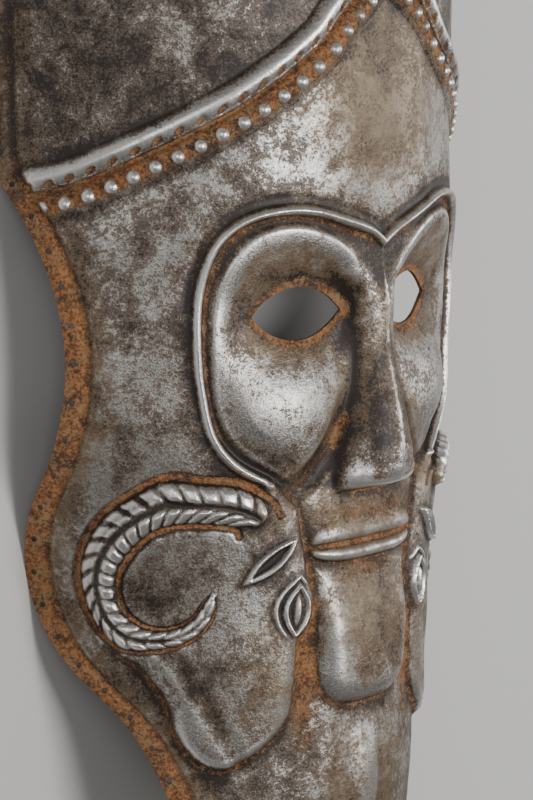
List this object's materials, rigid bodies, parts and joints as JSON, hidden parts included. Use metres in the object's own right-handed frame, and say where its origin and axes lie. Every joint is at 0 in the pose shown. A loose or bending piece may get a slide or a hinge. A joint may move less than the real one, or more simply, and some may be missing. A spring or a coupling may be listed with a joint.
{
  "type": "horse head armour",
  "caption": "Embossed iron guard for a horse's face: a mask with pierced eyes, nose, lips and beard, a ram's head with curled horn on each cheek, and a rope-and-bead band over the brow.",
  "frame": {"origin": "middle of the footprint on the surface that the plate lies on", "axes": "+X to the right as seen from the front, +Y towards the top of the horse's head, +Z away from the horse's face; the plate lies face up on its side edges"},
  "size_m": [0.238, 0.465, 0.1007],
  "materials": {
    "iron": "aged"
  },
  "bodies": {
    "root": {"face_plate": "iron"}
  },
  "joints": []
}
